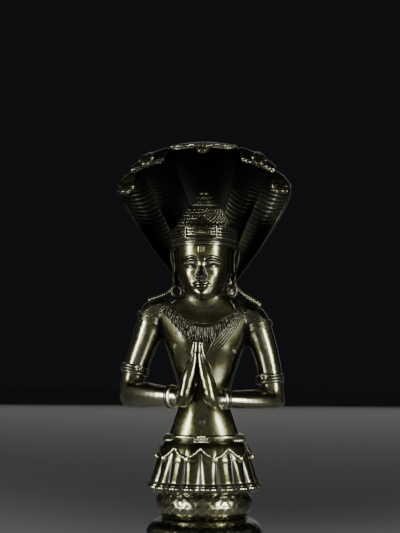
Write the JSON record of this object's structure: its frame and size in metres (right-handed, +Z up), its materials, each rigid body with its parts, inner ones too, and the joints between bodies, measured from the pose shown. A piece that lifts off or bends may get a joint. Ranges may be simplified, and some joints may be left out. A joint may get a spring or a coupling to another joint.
{
  "type": "patanjali figure",
  "caption": "Cast bronze devotional figure: a crowned sage with joined palms and serpent coils for legs, under a cobra hood, on a round lotus plinth",
  "frame": {"origin": "middle of the plinth's underside, on the surface the figure stands on", "axes": "+Z is up through the crown, the figure faces -Y, and its left hand is at +X"},
  "size_m": [0.14, 0.14, 0.3356],
  "materials": {
    "bronze": "dark olive patina, rubbed bright on the high places"
  },
  "bodies": {
    "root": {"figure": "bronze", "plinth": "bronze"}
  },
  "joints": []
}
